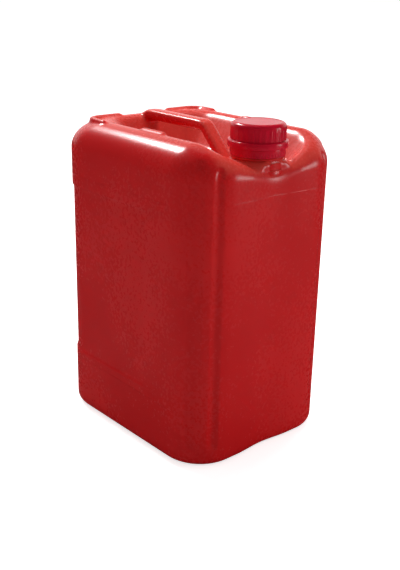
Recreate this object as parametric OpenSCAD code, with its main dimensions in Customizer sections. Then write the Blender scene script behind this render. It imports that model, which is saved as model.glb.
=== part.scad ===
// Stackable twenty litre plastic jerrycan, blow moulded in one piece, with a screw cap.
// +X is to the right across the narrow front, -Y is the front with the neck, +Z is up.
// The origin is at the centre of the base, on the surface the can stands on.

/* [Can] */
// Width of the can across its front
body_w = 235; // [200:1:270]
// Depth of the can from front to rear
body_d = 285; // [245:1:325]
// Height of the rim that runs round the top recess
rim_h = 391; // [340:1:450]
// Radius of the four upright corners, seen from above
corner_r = 55; // [44:1:64]
// Thickness of the moulded wall
wall = 2.4; // [1.8:0.1:3.2]
// Rounding between the walls and the base
base_r = 14; // [10:1:18]
// Width of the flat ring that the can stands on
foot_w = 14; // [10:1:20]
// Height of the hollow under the middle of the base
base_rise = 4; // [2:0.5:6]
// Height of the rounded shoulder below the rim
shoulder_h = 36; // [28:1:42]

/* [Front wall] */
// Depth of the shallow valley down the middle of the front
valley_d = 3.2; // [1:0.1:5]
// Half the width of that valley
valley_w = 46; // [30:1:55]

/* [Corner flutes] */
// Where the wide flute starts, in degrees round the front corner from the side
flute1_from = 28; // [24:1:31]
// Angle that the wide flute covers
flute1_span = 21; // [17:1:24]
// Depth of the wide flute
flute1_d = 4.4; // [2:0.1:6]
// Angle of the rib between the two flutes
flute_rib = 10; // [7:1:12]
// Angle that the narrow flute covers
flute2_span = 13; // [10:1:15]
// Depth of the narrow flute
flute2_d = 3; // [1:0.1:4]
// Distance from the rim down to the arched top of the wide flute
flute_drop = 10.5; // [8:0.5:24]
// Distance from the base up to where the flutes run out
flute_foot = 19; // [16:1:30]

/* [Label panel] */
// Depth of the panel for a label, let into the sides and the rear
panel_d = 1.8; // [0.8:0.1:3]
// Distance from the rim down to the panel
panel_drop = 83.5; // [65:1:100]
// Distance from the base up to the panel
panel_foot = 83.5; // [60:1:110]
// Height of the step at its upper and lower edge
panel_step = 4.5; // [3:0.5:8]

/* [Top recess] */
// Width of the ridge between the side wall and the edge of the recess
ridge_w = 40.5; // [38:0.5:44]
// Width of the ridge at the rear
ridge_rear = 48; // [44:1:54]
// Depth of the recess below the rim
recess_depth = 45.5; // [38:0.5:52]
// Angle of the recess walls above the horizontal
recess_slope = 57; // [50:1:66]
// Radius of the rear corners of the recess
recess_r = 38; // [32:1:42]
// Radius of the front corners of the recess
recess_front_r = 30; // [26:1:34]
// Distance from the front wall to the front corners' edge of the recess
recess_front = 16.5; // [13:0.5:20]
// How far the middle of the front edge bows forward of its ends
recess_bow = 9; // [4:0.5:11]

/* [Handle] */
// Width of the handle bar
handle_w = 20; // [17:0.1:26]
// Thickness of the handle bar
handle_t = 14; // [11:0.5:17]
// Height of the top of the handle above the rim
handle_rise = 7; // [2:0.5:8]
// Thickness of the strut in front
strut_t = 11.5; // [9:0.5:13]
// Slope of the strut below the horizontal, in degrees
strut_slope = 46; // [40:1:54]
// Bend radius where the bar turns into the strut
handle_bend = 12; // [9:1:18]
// Distance from the neck's axis back to the foot of the strut
strut_foot = 46.5; // [42:0.1:54]

/* [Stacking lugs] */
// Width of the lugs on the rim
lug_w = 6.9; // [5:0.1:9]
// Height of the lugs above the rim
lug_rise = 2; // [1.5:0.5:5]
// Length of the straight lugs beside the handle
side_lug_l = 37.3; // [30:0.1:60]
// How far the corner lugs run along the rear
lug_rear_l = 39; // [28:0.1:48]
// How far the corner lugs run along the sides
lug_side_l = 25; // [22:0.1:44]

/* [Neck] */
// Distance from the front wall to the axis of the neck
neck_set = 35.5; // [34:0.5:40]
// Outer radius of the neck tube
neck_r = 28.4; // [26:0.1:30]
// Height of the neck's sealing face above the rim
neck_rise = 13; // [9:0.5:18]
// Thickness of the neck tube
neck_wall = 2.6; // [2:0.1:3.5]
// Radius of the flared foot of the neck, down in the recess
neck_flare = 42.8; // [40:0.1:46]
// Pitch of the screw thread
thread_pitch = 6; // [5:0.5:7]
// Height of the thread's ridge above the tube
thread_h = 1.7; // [1:0.1:2]
// Turns of thread on the neck
thread_turns = 1.5; // [1:0.25:2.25]

/* [Cap] */
// Thickness of the cap's top and skirt
cap_wall = 2; // [1.6:0.1:3]
// Clearance between the cap and what it turns on
cap_gap = 0.4; // [0.3:0.05:0.6]
// Height of the ring round the foot of the cap
cap_ring_h = 8; // [6:0.5:10]
// How far that ring stands out from the grip
cap_ring_out = 3; // [1:0.25:4]
// Number of grip ribs
grip_count = 30; // [18:1:48]
// Height of the grip ribs
grip_h = 0.7; // [0.4:0.1:1]
// Thickness of the sealing disc
seal_t = 1.6; // [1:0.1:2.5]
// Height of the tear-off band
band_h = 9.2; // [7:0.2:12]
// Thickness of the tear-off band
band_t = 1.7; // [1.2:0.1:2.2]
// Height of the cap's skirt and top together
cap_h = 28.2; // [25:0.2:31]

/* [Hidden] */
$fn = 64;

// Clearance between flat faces of separate pieces
face_gap = 0.3;
// Overlap that makes solids of one piece merge
merge = 0.5;

// Places of the wall's corner centres and of the edge of the recess
corner_x = body_w / 2 - corner_r;
corner_y = body_d / 2 - corner_r;
lip_x = body_w / 2 - ridge_w;
lip_rear = body_d / 2 - ridge_rear;
lip_front = body_d / 2 - recess_front;
lip_front_x = lip_x - recess_front_r;
lip_front_y = -lip_front + recess_front_r;
floor_z = rim_h - recess_depth;

// The edge of the recess lies a little lower and further in than the crest of the ridge
lip_in = 4;
lip_down = 2;
lip_z = rim_h - lip_down;

// The front edge falls evenly from each corner to the spout in the middle
spout_soft = 10;
fall_soft = 8;
spout_above_floor = 3.5;
lip_arc = recess_front_r * PI / 2;
function soft_x(x) = sqrt(x * x + spout_soft * spout_soft) - spout_soft;
function fall_run(s) = sqrt(s * s + fall_soft * fall_soft) - fall_soft;
fall = (lip_z - floor_z - spout_above_floor) / fall_run(lip_arc + soft_x(lip_front_x));
function lip_height(s) = lip_z - fall * fall_run(s);
function bow(x) = recess_bow * pow(max(0, 1 - pow(x / lip_front_x, 2)), 1.5);

// The recess floor is a smaller outline, reached down the sloping wall
floor_blend = 3.5;
floor_r = 12;
function reach(z) = (z - floor_z) / tan(recess_slope) + floor_blend;
floor_x = lip_x - reach(lip_z);
floor_rear = lip_rear - reach(lip_z);
floor_front_y = -lip_front + reach(lip_height(lip_arc)) + floor_r;

// A number of even steps from a to b, without b itself
function steps(a, b, n) = [for (k = [0 : n - 1]) a + (b - a) * k / n];
function clamp01(t) = min(1, max(0, t));
function ease(t) = clamp01(t) * clamp01(t) * (3 - 2 * clamp01(t));

flute1_to = flute1_from + flute1_span;
flute2_from = flute1_to + flute_rib;
flute2_to = flute2_from + flute2_span;
corner_angles = concat(
    steps(0, flute1_from, 3), steps(flute1_from, flute1_to, 6), steps(flute1_to, flute2_from, 2),
    steps(flute2_from, flute2_to, 4), steps(flute2_to, 90, 3));
panel_front = -corner_y + 8;
panel_fade = 9;

// One point of the half outline: wall point, outward direction, edge of recess, its height,
// recess floor point and angle round the front corner
function on_arc(cx, cy, r, a) = [cx + r * cos(a), cy + r * sin(a)];
rear_points = [for (f = steps(0, 1, 2))
    [[f * corner_x, body_d / 2], [0, 1], [f * (lip_x - recess_r), lip_rear], lip_z,
     [f * (floor_x - floor_r), floor_rear], -1]];
rear_corner = [for (a = steps(90, 0, 6))
    [on_arc(corner_x, corner_y, corner_r, a), [cos(a), sin(a)],
     on_arc(lip_x - recess_r, lip_rear - recess_r, recess_r, a), lip_z,
     on_arc(floor_x - floor_r, floor_rear - floor_r, floor_r, a), -1]];
side_shares = concat(steps(0, (corner_y - panel_front) / (2 * corner_y), 5),
    [(corner_y - panel_front) / (2 * corner_y)]);
side_points = [for (f = side_shares)
    [[body_w / 2, corner_y - 2 * corner_y * f], [1, 0],
     [lip_x, (lip_rear - recess_r) * (1 - f) + lip_front_y * f], lip_z,
     [floor_x, (floor_rear - floor_r) * (1 - f) + floor_front_y * f], -1]];
front_corner = [for (a = corner_angles)
    [on_arc(corner_x, -corner_y, corner_r, -a), [cos(a), -sin(a)],
     on_arc(lip_front_x, lip_front_y, recess_front_r, -a), lip_height(lip_arc * a / 90),
     on_arc(floor_x - floor_r, floor_front_y, floor_r, -a), a]];
front_points = [for (f = concat(steps(1, 0, 5), [0]))
    let (x = f * lip_front_x, z = lip_height(lip_arc + soft_x(lip_front_x) - soft_x(x)),
         y = -lip_front - bow(x))
    [[f * corner_x, -body_d / 2], [0, -1], [x, y], z,
     [f * (floor_x - floor_r), y + reach(z)], 90]];
half = concat(rear_points, rear_corner, side_points, front_corner, front_points);
function mirrored(p) = [[-p[0].x, p[0].y], [-p[1].x, p[1].y], [-p[2].x, p[2].y], p[3],
    [-p[4].x, p[4].y], p[5]];
ring = concat(half, [for (k = [len(half) - 2 : -1 : 1]) mirrored(half[k])]);
ring_n = len(ring);

// How far the wall lies inside the plain outline: valley, flutes and label panel
function valley(p) = p[1].y > -0.99 ? 0 : valley_d * pow(cos(90 * min(1, abs(p[0].x) / valley_w)), 2);
function flute(a, from, span, depth, z, crest) =
    let (u = 2 * (a - from) / span - 1, arch = corner_r * sin(span / 2))
    abs(u) >= 1 ? 0 :
    depth * (1 - u * u) * ease((z - flute_foot) / 12)
        * ease((crest - flute_drop - arch * (1 - sqrt(1 - u * u)) - z) / 7 + 0.5);
function flutes(p, z, crest) = p[5] < 0 ? 0 :
    flute(p[5], flute1_from, flute1_span, flute1_d, z, crest)
    + flute(p[5], flute2_from, flute2_span, flute2_d, z, crest);
panel_top = rim_h - panel_drop;
function panel(p, z) = panel_d * (p[0].y >= panel_front ? 1 : 0)
    * ease((z - panel_foot) / panel_step + 0.5) * ease((panel_top - z) / panel_step + 0.5);

// Crest of the ridge beside a point, and the height of the shoulder below it
function gap_to_lip(p) = norm(p[0] - p[2]);
function crest_in(p) = min(lip_in, gap_to_lip(p) / 3);
function crest_out(p) = p[2] + (p[0] - p[2]) * crest_in(p) / gap_to_lip(p);
function crest_z(p) = p[3] + lip_down * crest_in(p) / lip_in;
function round_h(p) = max(12, min(shoulder_h, gap_to_lip(p) - crest_in(p)));
function wall_z(p) = crest_z(p) - round_h(p);

// Places on the can: at an inset on the wall, on the shoulder, and inside the recess
function flat_place(p, inset, z) = let (q = p[0] - p[1] * inset) [q.x, q.y, z];
function wall_place(p, z) = flat_place(p, valley(p) + panel(p, z) + flutes(p, z, crest_z(p)), z);
function shoulder_place(p, t) =
    let (z = wall_z(p) + round_h(p) * sin(t), start = p[0] - p[1] * valley(p),
         q = start + (crest_out(p) - start) * (1 - cos(t)) - p[1] * flutes(p, z, crest_z(p)))
    [q.x, q.y, z];
function recess_place(p, share) = let (q = p[2] + (p[4] - p[2]) * share)
    [q.x, q.y, p[3] + (floor_z - p[3]) * min(1, share * 1.1)];
function floor_place(p, share) = [p[4].x * share, p[4].y * share - 30 * (1 - share), floor_z];

// Insets and heights of the base, from its hollow out to the foot of the wall
base_run = 8;
base_rows = concat(
    [[base_r + foot_w + base_run + 4, base_rise], [base_r + foot_w + base_run, base_rise],
     [base_r + foot_w, 0]],
    [for (a = [0 : 22.5 : 90]) [base_r * (1 - sin(a)), base_r * (1 - cos(a))]]);
wall_rows = [flute_foot, flute_foot + 6, flute_foot + 12, panel_foot - panel_step / 2,
    panel_foot + panel_step / 2, panel_top - panel_step / 2, panel_top + panel_step / 2];
shoulder_rows = [for (k = [0 : 8]) 90 * k / 8];
recess_rows = [0, 0.45, 0.85, 0.93];
outside = concat(
    [for (r = base_rows) [for (p = ring) flat_place(p, r[0] + valley(p), r[1])]],
    [for (z = wall_rows) [for (p = ring) wall_place(p, z)]],
    [for (t = shoulder_rows) [for (p = ring) shoulder_place(p, t)]],
    [for (s = recess_rows) [for (p = ring) recess_place(p, s)]],
    [for (s = [1, 0.8]) [for (p = ring) floor_place(p, s)]]);

// The inside follows the outside at the thickness of the wall, with fewer rows on the roundings.
// The wall is thinner where the ridge is too narrow to hold two of them.
wall_row = len(base_rows);
shoulder_row = wall_row + len(wall_rows);
recess_row = shoulder_row + len(shoulder_rows);
function row_needed(j) = j < wall_row ? j < 4 || j % 2 == 1 :
    j >= shoulder_row && j < recess_row ? (j - shoulder_row) % 2 == 0 : true;
function normal(g, j, i) =
    let (n = len(g[0]), up = g[min(j + 1, len(g) - 1)][i] - g[max(j - 1, 0)][i],
         along = g[j][(i + 1) % n] - g[j][(i + n - 1) % n], c = cross(along, up))
    c / norm(c);
function wall_at(p) = min(wall, (gap_to_lip(p) - valley(p)) * 0.4);
inside = [for (j = [0 : len(outside) - 1]) if (row_needed(j))
    [for (i = [0 : ring_n - 1]) outside[j][i] + normal(outside, j, i) * wall_at(ring[i])]];

// A closed solid from a list of rings with equally many points
module skin(rings) {
    n = len(rings[0]);
    last = len(rings) - 1;
    side = [for (j = [0 : last - 1]) for (i = [0 : n - 1])
        let (k = (i + 1) % n, a = j * n + i, b = j * n + k, c = b + n, d = a + n)
        each [[a, b, c], [a, c, d]]];
    polyhedron([for (r = rings) each r],
        concat([[for (i = [n - 1 : -1 : 0]) i]], side, [[for (i = [0 : n - 1]) last * n + i]]));
}

// Middle line of the handle in the plane X = 0, as [y, z, direction]
bar_z = rim_h + handle_rise - handle_t / 2;
neck_y = -body_d / 2 + neck_set;
foot_y = neck_y + strut_foot;
bend_y = foot_y + (bar_z - floor_z) / tan(strut_slope);
bend_in = handle_bend * tan(strut_slope / 2);
handle_line = concat(
    [[lip_rear + 14, bar_z - 15, 180 - 42], [lip_rear + 5, bar_z - 5, 180 - 36],
     [lip_rear - 3, bar_z - 1, 180 - 14], [lip_rear - 12, bar_z, 180]],
    [for (a = steps(0, strut_slope, 4))
        [bend_y + bend_in - handle_bend * sin(a), bar_z - handle_bend * (1 - cos(a)), 180 + a]],
    [[bend_y - bend_in * cos(strut_slope), bar_z - bend_in * sin(strut_slope), 180 + strut_slope],
     [foot_y, floor_z, 180 + strut_slope],
     [foot_y - 5 * cos(strut_slope), floor_z - 5 * sin(strut_slope), 180 + strut_slope]]);
strut_from = 8;
function bar_thickness(k) = k < strut_from ? handle_t : strut_t;
// Rounded section across the handle, shrunk by an inset on every side
function handle_ring(k, inset) =
    let (q = handle_line[k], across = [-sin(q[2]), cos(q[2])],
         w = handle_w / 2 - inset, t = bar_thickness(k) / 2 - inset)
    [for (a = [0 : 30 : 330])
        let (c = cos(a), s = sin(a), side = w * sign(c) * pow(abs(c), 0.6),
             lift = t * sign(s) * pow(abs(s), 0.6))
        [side, q[0] + across[0] * lift, q[1] + across[1] * lift]];
module handle(inset) {
    skin([for (k = [0 : len(handle_line) - 1]) handle_ring(k, inset)]);
}

// Heights on the neck and the cap, from the sealing face downwards
rim_z = rim_h + neck_rise;
seal_z = rim_z + face_gap;
cap_in_z = seal_z + seal_t + face_gap;
cap_top_z = cap_in_z + cap_wall;
cap_foot_z = cap_top_z - cap_h;
band_z = cap_foot_z - face_gap - band_h;
seat_z = band_z - face_gap;
crest_r = neck_r + thread_h;
cap_in_r = crest_r + cap_gap;
grip_r = cap_in_r + cap_wall;
band_in_r = cap_in_r + cap_gap;
bead_r = band_in_r + band_t - cap_gap;
bead_h = 2.2;
hold_z = band_z + band_h / 2;
flare_top = seat_z - bead_h - 2;

// A flat disc on the neck's axis with both edges bevelled
neck_facets = 40;
// How far the neck's foot stands back from the front wall
foot_back = 3.2;
module disc(r, from, to, bevel) {
    hull() {
        translate([0, 0, from]) cylinder(r = r - bevel, h = to - from, $fn = neck_facets);
        translate([0, 0, from + bevel])
            cylinder(r = r, h = to - from - 2 * bevel, $fn = neck_facets);
    }
}
// Domed foot that carries the neck down into the recess
module flare(r, top) {
    hull() for (t = [90 : -15 : 0])
        translate([0, 0, floor_z - wall - 1])
            cylinder(r = neck_r + (r - neck_r) * sin(t),
                h = wall + 1 + (top - floor_z) * cos(t) + merge, $fn = neck_facets);
}
// Outline of the wall at the neck, which cuts the flared foot off in front
module wall_prism(inset) {
    linear_extrude(rim_h) polygon([for (p = ring) p[0] - p[1] * (valley(p) + inset)]);
}
module neck_outside() {
    intersection() {
        flare(neck_flare, flare_top);
        translate([0, -neck_y, 0]) wall_prism(foot_back);
    }
    disc(neck_r, floor_z, rim_z, 0.8);
    disc(bead_r, seat_z - bead_h, seat_z, 0.4);
    disc(crest_r, hold_z, hold_z + 2.6, 0.9);
    disc(neck_r + 2.4, floor_z, flare_top - 1.6, 0.6);
    disc(neck_r + 3.6, floor_z, floor_z + 10.5, 0.6);
    thread();
}
module neck_inside() {
    intersection() {
        flare(neck_flare - wall, flare_top - wall);
        translate([0, -neck_y, 0]) wall_prism(foot_back + wall);
    }
    translate([0, 0, floor_z - wall - 1])
        cylinder(r = neck_r - neck_wall, h = recess_depth * 2, $fn = neck_facets);
    translate([0, 0, rim_z - 0.8]) hull() {
        cylinder(r = neck_r - neck_wall, h = 0.1, $fn = neck_facets);
        translate([0, 0, 0.8]) cylinder(r = neck_r - neck_wall + 0.8, h = 1, $fn = neck_facets);
    }
}
// Screw thread, with a rounded ridge that starts and ends in the tube
thread_low = hold_z + 3 + thread_pitch / 2;
module thread() {
    turn_steps = 24;
    count = floor(turn_steps * thread_turns);
    skin([for (k = [0 : count])
        let (a = 360 * k / turn_steps, z = thread_low + thread_pitch * k / turn_steps,
             h = thread_h * ease(min(k, count - k) / 3) + 0.05)
        [for (q = [[-0.4, -1.7], [h, -0.6], [h, 0.6], [-0.4, 1.7]])
            [(neck_r + q[0]) * cos(a), (neck_r + q[0]) * sin(a), z + q[1]]]]);
}

// Stacking lugs: a rounded rib along a path, with round ends
lug_top = rim_h + lug_rise;
lug_root = rim_h - 12;
function direction(path, k) =
    let (d = path[min(k + 1, len(path) - 1)] - path[max(k - 1, 0)]) d / norm(d);
// Section of a lug across its path; size is 1 along the lug and less at its ends
function lug_ring(q, d, size) =
    let (w = lug_w / 2 * size, top = lug_top - 2.5 * (1 - size))
    [for (e = [[-w, lug_root], [w, lug_root], [w, top - 2], [w * 0.6, top - 0.3], [-w * 0.6, top - 0.3],
        [-w, top - 2]]) [q.x + d.y * e[0], q.y - d.x * e[0], e[1]]];
module bent_lug(path) {
    n = len(path);
    a = direction(path, 0);
    b = direction(path, n - 1);
    skin(concat([lug_ring(path[0] - a * 2.5, a, 0.5)],
        [for (k = [0 : n - 1]) lug_ring(path[k], direction(path, k), 1)],
        [lug_ring(path[n - 1] + b * 2.5, b, 0.5)]));
}
// Straight lug between two places, its top edge bevelled
module straight_lug(from, to) {
    hull() for (q = [from, to]) translate([q.x, q.y, lug_root]) {
        cylinder(d = lug_w, h = lug_top - lug_root - 2, $fn = 12);
        cylinder(d = lug_w * 0.6, h = lug_top - lug_root - 0.3, $fn = 12);
    }
}
lug_x = lip_x + 13;
lug_y = lip_rear + 14;
lug_bend = 16.5;
corner_path = concat([[lug_rear_l, lug_y]],
    [for (a = [90 : -22.5 : 0]) on_arc(lug_x - lug_bend, lug_y - lug_bend, lug_bend, a)],
    [[lug_x, lug_y - lug_bend - lug_side_l + 4]]);
side_lug_x = lip_x + 4;
side_lug_y = 3;

module can_body() {
    color([0.84, 0.16, 0.10]) difference() {
        union() {
            skin(outside);
            handle(0);
            translate([0, neck_y, 0]) neck_outside();
            for (s = [-1, 1]) {
                bent_lug(s > 0 ? corner_path : [for (k = [len(corner_path) - 1 : -1 : 0])
                    [-corner_path[k].x, corner_path[k].y]]);
                straight_lug([s * side_lug_x, side_lug_y], [s * side_lug_x, side_lug_y - side_lug_l]);
            }
        }
        skin(inside);
        handle(wall);
        translate([0, neck_y, 0]) neck_inside();
    }
}

// Cap: grip with upright ribs and a rounded top edge, a wider ring at its foot, open inside
cap_edge = 4;
rib_w = 1.6;
shell_r = grip_r - grip_h;
module screw_cap() {
    color([0.72, 0.02, 0.14]) translate([0, neck_y, 0]) difference() {
        union() {
            rotate_extrude() polygon(concat(
                [[0, cap_foot_z], [grip_r + cap_ring_out - 0.6, cap_foot_z],
                 [grip_r + cap_ring_out, cap_foot_z + 0.6],
                 [grip_r + cap_ring_out, cap_foot_z + cap_ring_h - 1.5],
                 [grip_r + cap_ring_out - 1.5, cap_foot_z + cap_ring_h],
                 [shell_r, cap_foot_z + cap_ring_h]],
                [for (a = [0 : 15 : 90])
                    [shell_r - cap_edge * (1 - cos(a)), cap_top_z - cap_edge * (1 - sin(a))]],
                [[shell_r - cap_edge - 1.2, cap_top_z - 0.4], [0, cap_top_z - 0.4]]));
            for (k = [0 : grip_count - 1]) rotate(360 * k / grip_count)
                translate([shell_r - grip_h, -rib_w / 2, cap_foot_z + cap_ring_h - 1])
                    cube([2 * grip_h, rib_w, cap_h - cap_ring_h - cap_edge + 1]);
        }
        translate([0, 0, cap_foot_z - 1]) cylinder(r = cap_in_r, h = cap_in_z - cap_foot_z + 1);
    }
}

// Tear-off band, held between the neck's seat and its holding bead
module tamper_band() {
    out = band_in_r + band_t;
    hook_r = neck_r + cap_gap;
    color([0.68, 0.03, 0.12]) translate([0, neck_y, 0]) rotate_extrude() polygon([
        [hook_r, band_z], [out - 0.4, band_z], [out, band_z + 0.4],
        [out, band_z + band_h - 0.4], [out - 0.4, band_z + band_h],
        [band_in_r, band_z + band_h], [band_in_r, band_z + band_h / 2],
        [hook_r, hold_z - face_gap - 0.6]]);
}

module cap_seal() {
    color([0.9, 0.9, 0.86]) translate([0, neck_y, seal_z]) cylinder(r = crest_r, h = seal_t);
}

can_body();
screw_cap();
tamper_band();
cap_seal();
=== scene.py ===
import math
import bpy
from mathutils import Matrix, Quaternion, Vector


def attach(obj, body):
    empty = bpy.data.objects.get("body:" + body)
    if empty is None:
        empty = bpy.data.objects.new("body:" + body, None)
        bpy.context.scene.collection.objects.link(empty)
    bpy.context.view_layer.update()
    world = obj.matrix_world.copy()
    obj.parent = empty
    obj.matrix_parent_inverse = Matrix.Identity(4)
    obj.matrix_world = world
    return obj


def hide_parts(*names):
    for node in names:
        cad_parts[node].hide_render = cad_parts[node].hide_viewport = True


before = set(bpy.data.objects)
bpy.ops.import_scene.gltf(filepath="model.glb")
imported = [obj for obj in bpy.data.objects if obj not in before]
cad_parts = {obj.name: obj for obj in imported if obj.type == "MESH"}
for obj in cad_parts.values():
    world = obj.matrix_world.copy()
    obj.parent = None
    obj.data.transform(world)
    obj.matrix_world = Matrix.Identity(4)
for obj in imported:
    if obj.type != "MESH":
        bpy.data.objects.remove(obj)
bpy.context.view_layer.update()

MM = 0.001
VOXEL, QUICK_VOXEL = 0.0018, 0.0034
MOST_TRIANGLES = 165000
SMOOTH_BELOW = math.radians(40)

# Sizes of the can in millimetres, the same as in the model behind the frame. Only the cap's ribs are lower.
BODY_W, BODY_D, RIM_H = 235, 285, 391
CORNER_R, BASE_R, FOOT_W, BASE_RISE, SHOULDER_H = 55, 14, 14, 4, 36
VALLEY_D, VALLEY_W = 3.2, 46
FLUTES = ((28, 21, 4.4), (59, 13, 3.0))
FLUTE_DROP, FLUTE_FOOT = 10.5, 19
PANEL_D, PANEL_DROP, PANEL_FOOT, PANEL_STEP = 1.8, 83.5, 83.5, 4.5
RIDGE_W, RIDGE_REAR = 40.5, 48
RECESS_DEPTH, RECESS_SLOPE, RECESS_R, RECESS_FRONT_R = 45.5, 57, 38, 30
RECESS_FRONT, RECESS_BOW = 16.5, 9
HANDLE_W, HANDLE_T, STRUT_T, STRUT_SLOPE = 20, 14, 11.5, 46
HANDLE_RISE, HANDLE_BEND, STRUT_FOOT = 7, 12, 46.5
LUG_W, LUG_RISE, SIDE_LUG_L = 6.9, 2, 37.3
LUG_REAR_L, LUG_SIDE_L, LUG_BEND = 39, 25, 16.5
NECK_SET, NECK_R, NECK_RISE, NECK_WALL, NECK_FLARE = 35.5, 28.4, 13, 2.6, 42.8
THREAD_PITCH, THREAD_H, THREAD_TURNS = 6, 1.7, 1.5
CAP_WALL, CAP_GAP, CAP_RING_H, CAP_RING_OUT = 2, 0.4, 8, 3
GRIP_COUNT, GRIP_H, SEAL_T = 30, 0.35, 1.6
BAND_H, BAND_T, CAP_H, FACE_GAP = 9.2, 1.7, 28.2, 0.3

corner_x = BODY_W / 2 - CORNER_R
corner_y = BODY_D / 2 - CORNER_R
lip_x = BODY_W / 2 - RIDGE_W
lip_rear = BODY_D / 2 - RIDGE_REAR
lip_front = BODY_D / 2 - RECESS_FRONT
lip_front_x = lip_x - RECESS_FRONT_R
lip_front_y = -lip_front + RECESS_FRONT_R
floor_z = RIM_H - RECESS_DEPTH
LIP_IN, LIP_DOWN = 4, 2
lip_z = RIM_H - LIP_DOWN
SPOUT_SOFT, FALL_SOFT, SPOUT_ABOVE_FLOOR = 10, 8, 3.5
FLOOR_BLEND, FLOOR_R = 3.5, 12
lip_arc = RECESS_FRONT_R * math.pi / 2
neck_y = -BODY_D / 2 + NECK_SET
panel_top = RIM_H - PANEL_DROP
# Distance that the neck's foot stands back, and where the label panel fades out towards the front
FOOT_BACK = 3.2
PANEL_FADE_Y, PANEL_FADE = -52, 36


def ease(t):
    t = min(1.0, max(0.0, t))
    return t * t * (3 - 2 * t)


def steps(a, b, n):
    return [a + (b - a) * k / n for k in range(n)]


def soft_x(x):
    return math.hypot(x, SPOUT_SOFT) - SPOUT_SOFT


def fall_run(s):
    return math.hypot(s, FALL_SOFT) - FALL_SOFT


fall = (lip_z - floor_z - SPOUT_ABOVE_FLOOR) / fall_run(lip_arc + soft_x(lip_front_x))


def lip_height(s):
    return lip_z - fall * fall_run(s)


def bow(x):
    return RECESS_BOW * max(0.0, 1 - (x / lip_front_x) ** 2) ** 1.5


def reach(z):
    return (z - floor_z) / math.tan(math.radians(RECESS_SLOPE)) + FLOOR_BLEND


floor_x = lip_x - reach(lip_z)
floor_rear = lip_rear - reach(lip_z)
floor_front_y = -lip_front + reach(lip_height(lip_arc)) + FLOOR_R


class Station:
    """One upright line round the can: where its wall, its ridge and its recess floor stand"""

    def __init__(self, wall, out, lip, lip_up, floor, corner=None):
        self.wall, self.out, self.lip, self.lip_up = Vector(wall), Vector(out), Vector(lip), lip_up
        self.floor, self.corner = Vector(floor), corner
        gap = (self.wall - self.lip).length
        self.crest_in = min(LIP_IN, gap / 3)
        self.crest = self.lip + (self.wall - self.lip) * self.crest_in / gap
        self.crest_up = lip_up + LIP_DOWN * self.crest_in / LIP_IN
        self.round_h = max(12, min(SHOULDER_H, gap - self.crest_in))
        self.wall_up = self.crest_up - self.round_h

    def mirrored(self):
        def flip(v):
            return (-v.x, v.y)
        return Station(flip(self.wall), flip(self.out), flip(self.lip), self.lip_up, flip(self.floor),
                       self.corner)

    def valley(self):
        if self.out.y > -0.99:
            return 0.0
        return VALLEY_D * math.cos(math.pi / 2 * min(1, abs(self.wall.x) / VALLEY_W)) ** 2

    def flutes(self, z):
        if self.corner is None:
            return 0.0
        depth = 0.0
        for start, span, deep in FLUTES:
            u = 2 * (self.corner - start) / span - 1
            if abs(u) < 1:
                arch = CORNER_R * math.sin(math.radians(span / 2)) * (1 - math.sqrt(1 - u * u))
                top = ease((self.crest_up - FLUTE_DROP - arch - z) / 7 + 0.5)
                depth += deep * (1 - u * u) * ease((z - FLUTE_FOOT) / 12) * top
        return depth

    def panel(self, z):
        side = ease((self.wall.y - PANEL_FADE_Y) / PANEL_FADE + 0.5)
        low = ease((z - PANEL_FOOT) / PANEL_STEP + 0.5)
        high = ease((panel_top - z) / PANEL_STEP + 0.5)
        return PANEL_D * side * low * high

    def at_wall(self, z, inset=0.0):
        q = self.wall - self.out * (inset + self.valley() + self.panel(z) + self.flutes(z))
        return (q.x, q.y, z)

    def at_base(self, inset, z):
        q = self.wall - self.out * (inset + self.valley())
        return (q.x, q.y, z)

    def at_shoulder(self, turn):
        z = self.wall_up + self.round_h * math.sin(turn)
        start = self.wall - self.out * self.valley()
        q = start + (self.crest - start) * (1 - math.cos(turn)) - self.out * self.flutes(z)
        return (q.x, q.y, z)

    def at_recess(self, share):
        q = self.lip + (self.floor - self.lip) * share
        return (q.x, q.y, self.lip_up + (floor_z - self.lip_up) * min(1, share * 1.1))

    def at_floor(self, share):
        return (self.floor.x * share, self.floor.y * share - 30 * (1 - share), floor_z)


def on_arc(cx, cy, r, degrees):
    a = math.radians(degrees)
    return (cx + r * math.cos(a), cy + r * math.sin(a))


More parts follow.
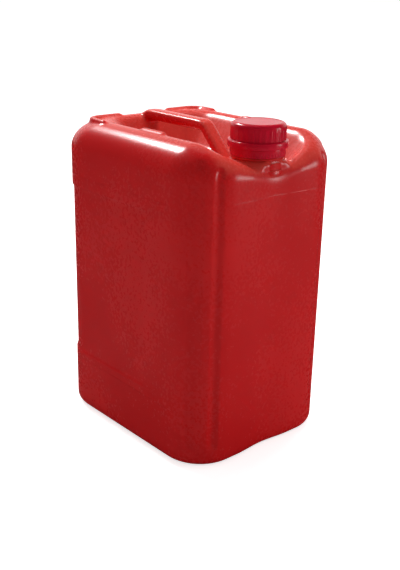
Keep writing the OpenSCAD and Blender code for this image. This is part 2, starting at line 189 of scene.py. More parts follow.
def outline():
    """Stations all round the can, from the middle of the rear over the right side to the front"""
    half = []
    for f in steps(0, 1, 20):
        half.append(Station((f * corner_x, BODY_D / 2), (0, 1),
                            (f * (lip_x - RECESS_R), lip_rear), lip_z,
                            (f * (floor_x - FLOOR_R), floor_rear)))
    for a in steps(90, 0, 26):
        out = on_arc(0, 0, 1, a)
        half.append(Station(on_arc(corner_x, corner_y, CORNER_R, a), out,
                            on_arc(lip_x - RECESS_R, lip_rear - RECESS_R, RECESS_R, a), lip_z,
                            on_arc(floor_x - FLOOR_R, floor_rear - FLOOR_R, FLOOR_R, a)))
    for f in steps(0, 1, 56):
        half.append(Station((BODY_W / 2, corner_y - 2 * corner_y * f), (1, 0),
                            (lip_x, (lip_rear - RECESS_R) * (1 - f) + lip_front_y * f), lip_z,
                            (floor_x, (floor_rear - FLOOR_R) * (1 - f) + floor_front_y * f)))
    for a in steps(0, 90, 60):
        half.append(Station(on_arc(corner_x, -corner_y, CORNER_R, -a), on_arc(0, 0, 1, -a),
                            on_arc(lip_front_x, lip_front_y, RECESS_FRONT_R, -a),
                            lip_height(lip_arc * a / 90),
                            on_arc(floor_x - FLOOR_R, floor_front_y, FLOOR_R, -a), a))
    for f in steps(1, 0, 24) + [0]:
        x = f * lip_front_x
        z = lip_height(lip_arc + soft_x(lip_front_x) - soft_x(x))
        y = -lip_front - bow(x)
        half.append(Station((f * corner_x, -BODY_D / 2), (0, -1), (x, y), z,
                            (f * (floor_x - FLOOR_R), y + reach(z)), 90))
    return half + [s.mirrored() for s in reversed(half[1:-1])]


def smoothed_rows(rings, first, last, rounds):
    """Evens out the section of the can between two rows, so that its edges turn round softly"""
    for _ in range(rounds):
        before = [[Vector(p) for p in ring] for ring in rings]
        for j in range(first, last):
            for i in range(len(rings[j])):
                mean = (before[j - 1][i] + before[j + 1][i]) / 2
                rings[j][i] = tuple(before[j][i] + (mean - before[j][i]) * 0.5)


def smoothed_round(rings, first, last, rounds):
    """Takes the sharpness off the upright edges of the flutes"""
    for _ in range(rounds):
        for j in range(first, last):
            ring = [Vector(p) for p in rings[j]]
            n = len(ring)
            rings[j] = [tuple(ring[i] * 0.5 + (ring[i - 1] + ring[(i + 1) % n]) * 0.25)
                        for i in range(n)]


def deselect():
    if bpy.context.mode != 'OBJECT':
        bpy.ops.object.mode_set(mode='OBJECT')
    bpy.ops.object.select_all(action='DESELECT')


def only(piece):
    deselect()
    piece.select_set(True)
    bpy.context.view_layer.objects.active = piece


def sleeve(name, rings, ends=True):
    """A skin through rings of places in millimetres: a grid, rolled up and closed at both ends"""
    deselect()
    n, rows = len(rings[0]), len(rings)
    bpy.ops.mesh.primitive_grid_add(x_subdivisions=n, y_subdivisions=rows - 1, size=1)
    piece = bpy.context.object
    piece.name = name
    places = []
    for ring in rings:
        for p in ring + ring[:1]:
            places += [c * MM for c in p]
    piece.data.vertices.foreach_set("co", places)
    piece.data.update()
    bpy.ops.object.mode_set(mode='EDIT')
    bpy.ops.mesh.select_all(action='SELECT')
    bpy.ops.mesh.remove_doubles(threshold=0.000002)
    if ends:
        bpy.ops.mesh.fill_holes(sides=0)
    bpy.ops.mesh.normals_make_consistent(inside=False)
    bpy.ops.object.mode_set(mode='OBJECT')
    return piece


def finish_with(piece, kind, **settings):
    """Adds one modifier, sets it and applies it"""
    only(piece)
    step = piece.modifiers.new(kind.title(), kind)
    for key, value in settings.items():
        setattr(step, key, value)
    bpy.ops.object.modifier_apply(modifier=step.name)


def joined(name, pieces):
    deselect()
    for piece in pieces:
        piece.select_set(True)
    bpy.context.view_layer.objects.active = pieces[0]
    bpy.ops.object.join()
    bpy.context.object.name = name
    return bpy.context.object


def copied(piece, name):
    only(piece)
    bpy.ops.object.duplicate()
    bpy.context.object.name = name
    return bpy.context.object


def removed(piece):
    only(piece)
    bpy.ops.object.delete()


def turned(profile, columns, bump=None):
    """Rings round the neck's axis through a profile of radius and height"""
    rings = []
    for r, z in profile:
        ring = []
        for k in range(columns):
            a = 2 * math.pi * k / columns
            rr = r + (bump(a, r, z) if bump else 0)
            ring.append((rr * math.cos(a), neck_y + rr * math.sin(a), z))
        rings.append(ring)
    return rings


# The can

def can_rings():
    stations = outline()
    base = [(BASE_R + FOOT_W + 22, BASE_RISE + 1.2), (BASE_R + FOOT_W + 16, BASE_RISE + 0.6),
            (BASE_R + FOOT_W + 12, BASE_RISE), (BASE_R + FOOT_W + 8, BASE_RISE),
            (BASE_R + FOOT_W + 6, BASE_RISE * 0.85), (BASE_R + FOOT_W + 3, BASE_RISE * 0.3),
            (BASE_R + FOOT_W, 0), (BASE_R + FOOT_W / 2, 0)]
    base += [(BASE_R * (1 - math.sin(math.radians(a))), BASE_R * (1 - math.cos(math.radians(a))))
             for a in range(0, 91, 9)]
    rings = [[s.at_base(inset, z) for s in stations] for inset, z in base]
    top = min(s.wall_up for s in stations)
    heights = steps(BASE_R, FLUTE_FOOT + 14, 6)[1:] + steps(FLUTE_FOOT + 14, PANEL_FOOT - 4, 10)
    heights += steps(PANEL_FOOT - 4, PANEL_FOOT + 4, 10) + steps(PANEL_FOOT + 4, panel_top - 4, 34)
    heights += steps(panel_top - 4, panel_top + 4, 10) + steps(panel_top + 4, top - 2, 6)
    rings += [[s.at_wall(z) for s in stations] for z in heights]
    rings += [[s.at_wall(top + (s.wall_up - top) * f) for s in stations] for f in steps(0, 1, 8)[1:]]
    shoulder = len(rings)
    rings += [[s.at_shoulder(math.radians(t)) for s in stations] for t in steps(0, 90, 30) + [90]]
    rings += [[s.at_recess(f) for s in stations] for f in steps(0, 1, 26)]
    rings += [[s.at_floor(f) for s in stations] for f in steps(1, 0.15, 10)]
    smoothed_rows(rings, shoulder + 22, len(rings) - 2, 12)
    smoothed_round(rings, 8, len(rings) - 10, 1)
    return rings


def handle_line():
    """Middle line of the handle as [y, z, direction, thickness]"""
    bar_z = RIM_H + HANDLE_RISE - HANDLE_T / 2
    foot_y = neck_y + STRUT_FOOT
    slope = math.radians(STRUT_SLOPE)
    bend_y = foot_y + (bar_z - floor_z) / math.tan(slope)
    bend_in = HANDLE_BEND * math.tan(slope / 2)
    line = [(lip_rear + 14, bar_z - 15, 138, HANDLE_T), (lip_rear + 5, bar_z - 5, 144, HANDLE_T),
            (lip_rear - 3, bar_z - 1, 166, HANDLE_T), (lip_rear - 12, bar_z, 180, HANDLE_T)]
    for a in steps(0, STRUT_SLOPE, 5) + [STRUT_SLOPE]:
        t = math.radians(a)
        line.append((bend_y + bend_in - HANDLE_BEND * math.sin(t),
                     bar_z - HANDLE_BEND * (1 - math.cos(t)), 180 + a,
                     HANDLE_T + (STRUT_T - HANDLE_T) * a / STRUT_SLOPE))
    line.append((foot_y, floor_z, 180 + STRUT_SLOPE, STRUT_T))
    line.append((foot_y - 5 * math.cos(slope), floor_z - 5 * math.sin(slope),
                 180 + STRUT_SLOPE, STRUT_T))
    return line


def handle_section(y, z, direction, thick):
    d = math.radians(direction)
    ring = []
    for k in range(48):
        a = 2 * math.pi * k / 48
        c, s = math.cos(a), math.sin(a)
        side = HANDLE_W / 2 * math.copysign(abs(c) ** 0.6, c)
        lift = thick / 2 * math.copysign(abs(s) ** 0.6, s)
        ring.append((side, y - math.sin(d) * lift, z + math.cos(d) * lift))
    return ring


def handle():
    line = handle_line()
    rings = []
    for a, b in zip(line, line[1:]):
        n = max(1, round(math.dist(a[:2], b[:2]) / 3))
        for f in steps(0, 1, n):
            rings.append(handle_section(*[p + (q - p) * f for p, q in zip(a, b)]))
    rings.append(handle_section(*line[-1]))
    return sleeve("handle", rings)


def lug(name, path):
    """A rounded rib that stands up along a path, with round ends"""
    rings = []
    line = []
    for a, b in zip(path, path[1:]):
        n = max(1, round(math.dist(a, b) / 2))
        line += [(a[0] + (b[0] - a[0]) * f, a[1] + (b[1] - a[1]) * f) for f in steps(0, 1, n)]
    line.append(path[-1])
    last = len(line) - 1
    length = sum(math.dist(p, q) for p, q in zip(line, line[1:]))
    run = 0.0
    for k, p in enumerate(line):
        if k:
            run += math.dist(line[k - 1], p)
        a, b = line[max(0, k - 1)], line[min(last, k + 1)]
        d = Vector((b[0] - a[0], b[1] - a[1])).normalized()
        end = min(run, length - run)
        size = 1 if end > LUG_W / 2 else max(0.12, math.sqrt(max(0.0, 1 - (1 - end / (LUG_W / 2)) ** 2)))
        w = LUG_W / 2 * size
        top = RIM_H + LUG_RISE - 1.6 * (1 - size)
        section = [(-w, RIM_H - 14), (w, RIM_H - 14), (w, top - 2.6), (w * 0.92, top - 1.2),
                   (w * 0.72, top - 0.4), (w * 0.4, top), (-w * 0.4, top), (-w * 0.72, top - 0.4),
                   (-w * 0.92, top - 1.2), (-w, top - 2.6)]
        rings.append([(p[0] + d.y * e, p[1] - d.x * e, z) for e, z in section])
    return sleeve(name, rings)


def lugs():
    lug_x, lug_y = lip_x + 13, lip_rear + 14
    pieces = []
    for s in (-1, 1):
        bend = [on_arc(lug_x - LUG_BEND, lug_y - LUG_BEND, LUG_BEND, a) for a in steps(90, 0, 12) + [0]]
        path = [(LUG_REAR_L - 2.5, lug_y)] + bend + [(lug_x, lug_y - LUG_BEND - LUG_SIDE_L + 1.5)]
        pieces.append(lug("corner_lug", [(s * x, y) for x, y in path]))
        side = s * (lip_x + 4)
        pieces.append(lug("side_lug", [(side, 3 + LUG_W / 2), (side, 3 - SIDE_LUG_L - LUG_W / 2)]))
    return pieces


def valley_y(x):
    return -BODY_D / 2 + VALLEY_D * math.cos(math.pi / 2 * min(1, abs(x) / VALLEY_W)) ** 2


# Heights on the neck and the cap
rim_z = RIM_H + NECK_RISE
seal_z = rim_z + FACE_GAP
cap_in_z = seal_z + SEAL_T + FACE_GAP
cap_top_z = cap_in_z + CAP_WALL
cap_foot_z = cap_top_z - CAP_H
band_z = cap_foot_z - FACE_GAP - BAND_H
seat_z = band_z - FACE_GAP
crest_r = NECK_R + THREAD_H
cap_in_r = crest_r + CAP_GAP
grip_r = cap_in_r + CAP_WALL
shell_r = grip_r - GRIP_H
band_in_r = cap_in_r + CAP_GAP
bead_r = band_in_r + BAND_T - CAP_GAP
hold_z = band_z + BAND_H / 2
flare_top = seat_z - 2.2 - 2
bore_r = NECK_R - NECK_WALL
ribs_top = cap_top_z - 5.5


def neck_foot():
    """The domed foot under the neck, held back behind the front wall"""
    profile = [(1, floor_z - 6), (NECK_FLARE, floor_z - 6)]
    for t in range(90, -1, -6):
        a = math.radians(t)
        profile.append((NECK_R + (NECK_FLARE - NECK_R) * math.sin(a),
                        floor_z + (flare_top - floor_z) * math.cos(a)))
    profile += [(NECK_R - 0.9, flare_top), (NECK_R - 0.9, flare_top + 8), (1, flare_top + 8)]
    rings = []
    for ring in turned(profile, 96):
        rings.append([(x, max(y, valley_y(x) + FOOT_BACK), z) for x, y, z in ring])
    return sleeve("neck_foot", rings)


def cavity():
    """What is scooped out of the solid can: its hollow and the bore of its neck"""
    stations = outline()
    middle = BASE_R + FOOT_W + 10
    rows = [(middle, BASE_RISE + 3), (BASE_R, 4), (5, 9)]
    rows += [(3, z) for z in (18, 25, 31, 70, 100, 290, 318)]
    rows += [(7, 333), (16, floor_z - 4), (middle, floor_z - 4)]
    hollow = sleeve("hollow", [[s.at_wall(z, inset) for s in stations[::3]] for inset, z in rows])
    bore = sleeve("bore", turned([(1, floor_z - 12), (bore_r, floor_z - 12), (bore_r, rim_z + 20),
                                  (1, rim_z + 20)], 96))
    finish_with(hollow, 'BOOLEAN', operation='UNION', solver='MANIFOLD', object=bore)
    removed(bore)
    return hollow


def neck():
    """The part of the neck above its foot: collar, seat, holding bead and sealing edge; the thread is made
    apart
    """
    def bead(r, low, high, soft):
        return [(NECK_R, low), (r - soft, low + 0.15), (r, low + soft), (r, high - soft),
                (r - soft, high - 0.15), (NECK_R, high)]
    outer = [(NECK_R + 3.6, floor_z + 5), (NECK_R + 3.6, floor_z + 9.9), (NECK_R + 3.3, floor_z + 10.4)]
    outer += [(NECK_R + 2.4, floor_z + 10.6), (NECK_R + 2.4, flare_top - 2.2),
              (NECK_R + 1.8, flare_top - 1.6), (NECK_R, flare_top - 1.5)]
    outer += bead(bead_r, seat_z - 2.2, seat_z, 0.5)
    outer += bead(crest_r, hold_z, hold_z + 2.6, 0.9)
    outer += [(NECK_R, rim_z - 1), (NECK_R - 0.3, rim_z - 0.3), (NECK_R - 1, rim_z)]
    inner = [(bore_r + 0.8, rim_z), (bore_r + 0.2, rim_z - 0.4), (bore_r - 0.05, rim_z - 1.2),
             (bore_r - 0.05, floor_z + 8)]
    tube = outer + inner + outer[:1]
    return sleeve("neck", turned(tube, 160), ends=False)


def thread():
    turn_steps = 72
    count = int(turn_steps * THREAD_TURNS)
    low = hold_z + 3 + THREAD_PITCH / 2
    rings = []
    for k in range(count + 1):
        a = 2 * math.pi * k / turn_steps
        z = low + THREAD_PITCH * k / turn_steps
        h = THREAD_H * ease(min(k, count - k) / 8) + 0.05
        section = [(-0.4, -1.7), (h * 0.7, -0.95), (h, -0.5), (h, 0.5), (h * 0.7, 0.95), (-0.4, 1.7)]
        rings.append([((NECK_R + q) * math.cos(a), neck_y + (NECK_R + q) * math.sin(a), z + w)
                      for q, w in section])
    return sleeve("thread", rings)


def blown_can():
    """The can in one skin: its plain walls keep their exact places, and what stands on them blends in softly"""
    shell = sleeve("shell", can_rings())
    extras = joined("extras", [handle()] + lugs() + [neck_foot()])
    can = joined("blown_can", [copied(shell, "can"), copied(extras, "on_top")])
    finish_with(can, 'REMESH', mode='VOXEL', voxel_size=VOXEL)
    finish_with(can, 'SMOOTH', factor=0.5, iterations=5)
    plain = can.vertex_groups.new(name="plain")
    plain.add(range(len(can.data.vertices)), 1.0, 'REPLACE')
    finish_with(can, 'VERTEX_WEIGHT_PROXIMITY', vertex_group="plain", target=extras,
                proximity_mode='GEOMETRY', proximity_geometry={'FACE'}, min_dist=0.003, max_dist=0.010)
    finish_with(can, 'SHRINKWRAP', target=shell, vertex_group="plain",
                wrap_method='NEAREST_SURFACEPOINT')
    finish_with(can, 'SMOOTH', factor=0.5, iterations=6, vertex_group="plain", invert_vertex_group=True)
    can.vertex_groups.clear()
    triangles = sum(len(f.vertices) - 2 for f in can.data.polygons)
    finish_with(can, 'DECIMATE', ratio=min(1.0, MOST_TRIANGLES / triangles))
    hollow = cavity()
    finish_with(can, 'BOOLEAN', operation='DIFFERENCE', solver='MANIFOLD', object=hollow)
    for used in (shell, extras, hollow):
        removed(used)
    can = joined("blown_can", [can, neck(), thread()])
    bpy.ops.object.shade_smooth_by_angle(angle=SMOOTH_BELOW)
    return can


# The cap and its band

def grip(angle, r, z):
    """How far the ribs stand out of the cap's side"""
    if r < shell_r - 0.01 or not cap_foot_z + CAP_RING_H - 0.5 < z < ribs_top:
        return 0.0
    wave = math.cos(angle * GRIP_COUNT)
    return GRIP_H * ease((wave - 0.15) / 0.6) * ease((ribs_top - z) / 2.5)


def ribbed_cap():
    foot, ring_r = cap_foot_z, grip_r + CAP_RING_OUT
    edge = 5
    profile = [(0.4, cap_in_z), (cap_in_r - 1, cap_in_z), (cap_in_r - 0.3, cap_in_z - 0.3),
               (cap_in_r, cap_in_z - 1)]
    profile += [(cap_in_r, z) for z in steps(cap_in_z - 2, foot + 0.8, 6)]
    shelf = foot + CAP_RING_H
    profile += [(cap_in_r, foot + 0.5), (cap_in_r + 0.5, foot), (ring_r - 0.8, foot),
                (ring_r - 0.25, foot + 0.2), (ring_r, foot + 0.8), (ring_r, shelf - 1.7),
                (ring_r - 0.2, shelf - 0.9), (ring_r - 0.8, shelf - 0.25), (ring_r - 1.6, shelf),
                (shell_r + 0.5, shelf), (shell_r, shelf + 0.3)]
    profile += [(shell_r, z) for z in steps(shelf + 1, cap_top_z - edge, 10)]
    for degrees in range(0, 91, 9):
        a = math.radians(degrees)
        profile.append((shell_r - edge * (1 - math.cos(a)), cap_top_z - edge * (1 - math.sin(a))))
    profile += [(shell_r - edge - 0.7, cap_top_z - 0.05), (shell_r - edge - 1.3, cap_top_z - 0.35),
                (shell_r - edge - 2, cap_top_z - 0.4), (shell_r - edge - 9, cap_top_z - 0.4),
                (0.4, cap_top_z - 0.4)]
    cap = sleeve("ribbed_cap", turned(profile, 360, grip))
    bpy.ops.object.shade_smooth_by_angle(angle=SMOOTH_BELOW)
    return cap


def tooth(angle, r, z):
    """Small upright teeth on the lower half of the band"""
    if r < band_in_r + 1 or not band_z + 0.3 < z < band_z + BAND_H * 0.55:
        return 0.0
    return -0.35 * ease((math.cos(angle * 48) - 0.55) / 0.3)


def tear_band():
    out = band_in_r + BAND_T
    hook = NECK_R + CAP_GAP
    top = band_z + BAND_H
    profile = [(hook, band_z), (out - 0.5, band_z), (out - 0.12, band_z + 0.15), (out, band_z + 0.5)]
    profile += [(out, z) for z in steps(band_z + 1, top - 0.5, 12)]
    profile += [(out, top - 0.5), (out - 0.12, top - 0.15), (out - 0.5, top), (band_in_r, top),
                (band_in_r, band_z + BAND_H / 2), (hook, hold_z - FACE_GAP - 0.6), (hook, band_z)]
    band = sleeve("tear_band", turned(profile, 288, tooth), ends=False)
    bpy.ops.object.shade_smooth_by_angle(angle=SMOOTH_BELOW)
    return band


# Materials

class Finish:
    """A material that is built up from nodes on the piece's own coordinates"""

    def __init__(self, name):
        self.material = bpy.data.materials.new(name)
        self.material.use_nodes = True
        self.tree = self.material.node_tree
        self.shader = self.tree.nodes["Principled BSDF"]
        self.place = self.add('ShaderNodeTexCoord').outputs["Object"]

    def add(self, kind, **settings):
        node = self.tree.nodes.new(kind)
        for key, value in settings.items():
            setattr(node, key, value)
        return node

    def link(self, a, b):
        self.tree.links.new(a, b)

    def noise(self, scale, detail=2.0, rough=0.5):
        node = self.add('ShaderNodeTexNoise')
        node.inputs["Scale"].default_value = scale
        node.inputs["Detail"].default_value = detail
        node.inputs["Roughness"].default_value = rough
        self.link(self.place, node.inputs["Vector"])
        return node.outputs["Fac"]

    def ranged(self, value, a, b, c, d, kind='LINEAR'):
        node = self.add('ShaderNodeMapRange', interpolation_type=kind)
        for key, number in zip(("From Min", "From Max", "To Min", "To Max"), (a, b, c, d)):
            node.inputs[key].default_value = number
        self.link(value, node.inputs["Value"])
        return node.outputs["Result"]

    def maths(self, kind, a, b=None, c=None):
        node = self.add('ShaderNodeMath', operation=kind)
        for k, value in enumerate((a, b, c)):
            if value is None:
                continue
            if isinstance(value, (int, float)):
                node.inputs[k].default_value = value
            else:
                self.link(value, node.inputs[k])
        return node.outputs["Value"]

    def mixed(self, factor, a, b):
        node = self.add('ShaderNodeMix', data_type='RGBA')
        node.inputs[6].default_value = (*a, 1)
        node.inputs[7].default_value = (*b, 1)
        self.link(factor, node.inputs[0])
        return node.outputs[2]

    def bumped(self, height, strength, distance, below=None):
        node = self.add('ShaderNodeBump')
        node.inputs["Strength"].default_value = strength
        node.inputs["Distance"].default_value = distance
        self.link(height, node.inputs["Height"])
        if below:
            self.link(below, node.inputs["Normal"])
        return node.outputs["Normal"]


def moulded_lines(finish):
    """Fine lines that the mould leaves beside the label panel and round the corners"""
    axes = finish.add('ShaderNodeSeparateXYZ')
    finish.link(finish.place, axes.inputs["Vector"])
    x, y, z = axes.outputs["X"], axes.outputs["Y"], axes.outputs["Z"]

    def line(height, width):
        off = finish.maths('ABSOLUTE', finish.maths('SUBTRACT', z, height))
        return finish.ranged(off, 0, width, 1, 0, 'SMOOTHSTEP')

    def behind(place):
        return finish.ranged(y, place - 0.008, place + 0.008, 0, 1, 'SMOOTHSTEP')

    def ahead(place):
        return finish.ranged(y, place - 0.008, place + 0.008, 1, 0, 'SMOOTHSTEP')

    upper = finish.maths('MULTIPLY', line(0.323, 0.0012), behind(-0.086))
    lower = finish.maths('MULTIPLY', line(0.0726, 0.0012), behind(-0.103))
    witness = finish.maths('MULTIPLY', line(0.327, 0.0006), ahead(-0.088))
    witness2 = finish.maths('MULTIPLY', line(0.086, 0.0006), ahead(-0.088))
    low_front = finish.maths('MULTIPLY', finish.maths('ADD', witness, witness2), 0.35)
    return finish.maths('ADD', finish.maths('ADD', upper, lower), low_front)


def can_plastic():
    """Blow-moulded red plastic: satin, slightly uneven, with a painted sheen that makes it paler and more
    orange on upward-facing faces and round the recess
    """
    finish = Finish("can_plastic")
    cloud = finish.noise(7.0, 3.0)
    speck = finish.noise(240.0, 2.0)
    body = finish.mixed(finish.ranged(cloud, 0.3, 0.7, 0, 1),
                        (0.58, 0.0055, 0.0075), (0.66, 0.0085, 0.0095))
    # Painted sheen, not the plastic's own colour: faces that look up, and the recess floor in the middle, are
    # mixed towards a paler orange red as if lit from above
    facing = finish.add('ShaderNodeSeparateXYZ')
    finish.link(finish.add('ShaderNodeNewGeometry').outputs["Normal"], facing.inputs["Vector"])
    painted_sheen_flat = finish.ranged(facing.outputs["Z"], 0.8, 0.99, 0, 1, 'SMOOTHSTEP')
    axes = finish.add('ShaderNodeSeparateXYZ')
    finish.link(finish.place, axes.inputs["Vector"])
    off_middle = finish.maths('ABSOLUTE', axes.outputs["X"])
    within = finish.ranged(off_middle, 0.077, 0.09, 1, 0, 'SMOOTHSTEP')
    painted_sheen_upward = finish.ranged(facing.outputs["Z"], 0.2, 0.6, 0, 1, 'SMOOTHSTEP')
    recess = finish.maths('MULTIPLY', within, painted_sheen_upward)
    top = finish.maths('MULTIPLY', finish.maths('MAXIMUM', painted_sheen_flat, recess),
                       finish.ranged(speck, 0.3, 0.7, 0.75, 1.0))
    colour = finish.mixed(top, (0, 0, 0), (0.72, 0.060, 0.045))
    finish.link(body, colour.node.inputs[6])
    finish.link(colour, finish.shader.inputs["Base Color"])
    rough = finish.maths('ADD', finish.ranged(cloud, 0.3, 0.7, 0.25, 0.29),
                         finish.ranged(speck, 0.3, 0.7, -0.015, 0.015))
    finish.link(rough, finish.shader.inputs["Roughness"])
    finish.shader.inputs["IOR"].default_value = 1.5
    finish.shader.inputs["Specular IOR Level"].default_value = 0.25
    grain = finish.bumped(finish.noise(900.0, 2.0), 0.03, 0.0002)
    wave = finish.bumped(finish.noise(26.0, 1.0), 0.15, 0.0006, grain)
    lines = finish.bumped(moulded_lines(finish), 0.6, 0.0005, wave)
    finish.link(lines, finish.shader.inputs["Normal"])
    return finish.material


def cap_plastic():
    """Injection-moulded crimson plastic, glossier than the can"""
    finish = Finish("cap_plastic")
    cloud = finish.noise(30.0, 2.0)
    colour = finish.mixed(finish.ranged(cloud, 0.3, 0.7, 0, 1),
                          (0.55, 0.0015, 0.018), (0.62, 0.0025, 0.023))
    finish.link(colour, finish.shader.inputs["Base Color"])
    finish.link(finish.ranged(cloud, 0.3, 0.7, 0.2, 0.27), finish.shader.inputs["Roughness"])
    finish.shader.inputs["IOR"].default_value = 1.5
    finish.shader.inputs["Specular IOR Level"].default_value = 0.25
    grain = finish.bumped(finish.noise(1200.0, 1.0), 0.03, 0.0002)
    finish.link(grain, finish.shader.inputs["Normal"])
    return finish.material


def seal_foam():
    """Pale closed-cell foam of the sealing disc"""
    finish = Finish("seal_foam")
    cells = finish.add('ShaderNodeTexVoronoi')
    cells.inputs["Scale"].default_value = 1400.0
    finish.link(finish.place, cells.inputs["Vector"])
    colour = finish.mixed(finish.noise(80.0), (0.72, 0.72, 0.68), (0.82, 0.81, 0.77))
    finish.link(colour, finish.shader.inputs["Base Color"])
    finish.shader.inputs["Roughness"].default_value = 0.75
    finish.link(finish.bumped(cells.outputs["Distance"], 0.3, 0.0002), finish.shader.inputs["Normal"])
    return finish.material


# The studio

def any_of(tree, *values):
    """1 where any of these values is 1"""
    total = values[0]
    for value in values[1:]:
        node = tree.nodes.new('ShaderNodeMath')
        node.operation = 'MAXIMUM'
        tree.links.new(total, node.inputs[0])
        tree.links.new(value, node.inputs[1])
        total = node.outputs["Value"]
    return total


def studio_floor():
    """Pale floor that the camera sees as white with the can's shadow, and reflections see darker"""
    deselect()
    bpy.ops.mesh.primitive_plane_add(size=30, location=(0, 0, -0.0005))
    floor = bpy.context.object
    floor.name = "studio_floor"
    material = bpy.data.materials.new("studio_floor")
    material.use_nodes = True
    tree = material.node_tree
    path = tree.nodes.new('ShaderNodeLightPath')
    tone = tree.nodes.new('ShaderNodeMix')
    tone.data_type = 'RGBA'
    tone.inputs[6].default_value = (0.85, 0.85, 0.85, 1)
    tone.inputs[7].default_value = (0.05, 0.05, 0.05, 1)
    tree.links.new(path.outputs["Is Glossy Ray"], tone.inputs[0])
    dim = tree.nodes["Principled BSDF"]
    tree.links.new(tone.outputs[2], dim.inputs["Base Color"])
    dim.inputs["Roughness"].default_value = 0.9
    dim.inputs["Specular IOR Level"].default_value = 0.1
    pale = tree.nodes.new('ShaderNodeBsdfDiffuse')
    pale.inputs["Color"].default_value = (0.9, 0.9, 0.9, 1)
    white = tree.nodes.new('ShaderNodeEmission')
    white.inputs["Color"].default_value = (1, 1, 1, 1)
    white.inputs["Strength"].default_value = 0.72
    both = tree.nodes.new('ShaderNodeAddShader')
    tree.links.new(pale.outputs["BSDF"], both.inputs[0])
    tree.links.new(white.outputs["Emission"], both.inputs[1])
    pick = tree.nodes.new('ShaderNodeMixShader')
    seen = any_of(tree, path.outputs["Is Camera Ray"], path.outputs["Is Transmission Ray"])
    tree.links.new(seen, pick.inputs[0])
    tree.links.new(dim.outputs["BSDF"], pick.inputs[1])
    tree.links.new(both.outputs["Shader"], pick.inputs[2])
    tree.links.new(pick.outputs["Shader"], tree.nodes["Material Output"].inputs["Surface"])
    floor.data.materials.append(material)


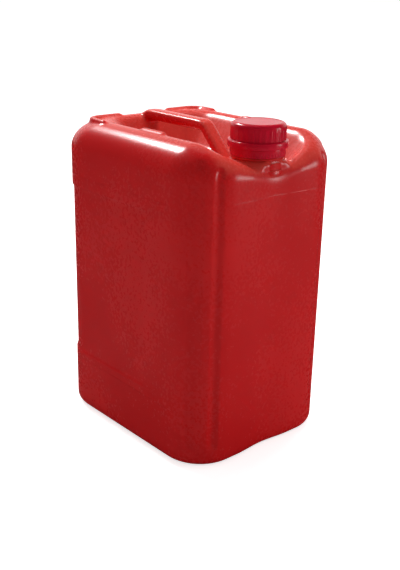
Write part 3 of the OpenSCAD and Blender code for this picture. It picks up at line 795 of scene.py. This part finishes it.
def studio_world():
    """Plain white for the camera. In reflections it is bright only low down on the far side of the can."""
    world = bpy.data.worlds.new("studio")
    bpy.context.scene.world = world
    world.use_nodes = True
    tree = world.node_tree
    light = tree.nodes["Background"]
    light.inputs["Color"].default_value = (1, 1, 1, 1)
    light.inputs["Strength"].default_value = 0.36
    place = tree.nodes.new('ShaderNodeTexCoord')
    axes = tree.nodes.new('ShaderNodeSeparateXYZ')
    tree.links.new(place.outputs["Generated"], axes.inputs["Vector"])
    height = tree.nodes.new('ShaderNodeMapRange')
    height.interpolation_type = 'SMOOTHSTEP'
    for key, number in zip(("From Min", "From Max", "To Min", "To Max"), (0.36, 0.62, 1.0, 0.12)):
        height.inputs[key].default_value = number
    tree.links.new(axes.outputs["Z"], height.inputs["Value"])
    mirrored = tree.nodes.new('ShaderNodeBackground')
    mirrored.inputs["Color"].default_value = (1, 1, 1, 1)
    behind = tree.nodes.new('ShaderNodeVectorMath')
    behind.operation = 'DOT_PRODUCT'
    behind.inputs[1].default_value = (0.66, 0.75, 0)
    tree.links.new(place.outputs["Generated"], behind.inputs[0])
    side = tree.nodes.new('ShaderNodeMapRange')
    side.interpolation_type = 'SMOOTHSTEP'
    for key, number in zip(("From Min", "From Max", "To Min", "To Max"), (0.3, 0.8, 0.03, 1.0)):
        side.inputs[key].default_value = number
    tree.links.new(behind.outputs["Value"], side.inputs["Value"])
    bright = tree.nodes.new('ShaderNodeMath')
    bright.operation = 'MULTIPLY'
    tree.links.new(height.outputs["Result"], bright.inputs[0])
    tree.links.new(side.outputs["Result"], bright.inputs[1])
    tree.links.new(bright.outputs["Value"], mirrored.inputs["Strength"])
    white = tree.nodes.new('ShaderNodeBackground')
    white.inputs["Color"].default_value = (1, 1, 1, 1)
    white.inputs["Strength"].default_value = 1.0
    path = tree.nodes.new('ShaderNodeLightPath')
    glossy = tree.nodes.new('ShaderNodeMixShader')
    tree.links.new(path.outputs["Is Glossy Ray"], glossy.inputs[0])
    tree.links.new(light.outputs["Background"], glossy.inputs[1])
    tree.links.new(mirrored.outputs["Background"], glossy.inputs[2])
    pick = tree.nodes.new('ShaderNodeMixShader')
    seen = any_of(tree, path.outputs["Is Camera Ray"], path.outputs["Is Transmission Ray"])
    tree.links.new(seen, pick.inputs[0])
    tree.links.new(glossy.outputs["Shader"], pick.inputs[1])
    tree.links.new(white.outputs["Background"], pick.inputs[2])
    tree.links.new(pick.outputs["Shader"], tree.nodes["World Output"].inputs["Surface"])


def lamp(name, place, target, size, watts, soft=True, mirrored=True):
    """A round lamp. soft: it lights matt surfaces; mirrored: it shows in reflections"""
    deselect()
    bpy.ops.object.light_add(type='AREA', location=place)
    light = bpy.context.object
    light.name = name
    light.data.shape = 'DISK'
    light.data.size = size
    light.data.energy = watts
    aim = Vector(target) - Vector(place)
    light.rotation_euler = aim.to_track_quat('-Z', 'Y').to_euler()
    light.visible_diffuse = soft
    light.visible_glossy = mirrored


def studio():
    bpy.context.scene.view_settings.view_transform = 'Standard'
    studio_floor()
    studio_world()
    lamp("overhead", (0.7, 0.5, 2.0), (0, 0, 0.3), 1.2, 27, mirrored=False)
    lamp("front", (1.39, -1.55, 0.45), (0, 0, 0.3), 0.6, 9)
    lamp("rear", (-0.19, 1.32, 1.79), (0, 0, 0.35), 0.6, 16, mirrored=False)
    lamp("glint", (-0.19, 1.32, 1.79), (0, 0, 0.35), 0.3, 70, soft=False)


def photo_camera():
    data = bpy.data.cameras.new("photo_camera")
    camera = bpy.data.objects.new("photo_camera", data)
    bpy.context.scene.collection.objects.link(camera)
    bpy.context.scene.camera = camera
    data.sensor_width = 36
    data.lens = 55.07
    place = Vector((-709.8, -815.5, 568.7)) * MM
    target = Vector((5.84, -5.03, 178.3)) * MM
    camera.location = place
    turn = (target - place).to_track_quat('-Z', 'Y') @ Quaternion((0, 0, 1), math.radians(1.29))
    camera.rotation_mode = 'QUATERNION'
    camera.rotation_quaternion = turn


def dressed(piece, material, body, node):
    piece.data.materials.clear()
    piece.data.materials.append(material)
    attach(piece, body)
    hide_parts(node)


photo_camera()
studio()
red = can_plastic()
crimson = cap_plastic()
dressed(blown_can(), red, "can", "can_body")
dressed(ribbed_cap(), crimson, "cap", "screw_cap")
dressed(tear_band(), crimson, "can", "tamper_band")
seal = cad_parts["cap_seal"]
seal.data.materials.clear()
seal.data.materials.append(seal_foam())
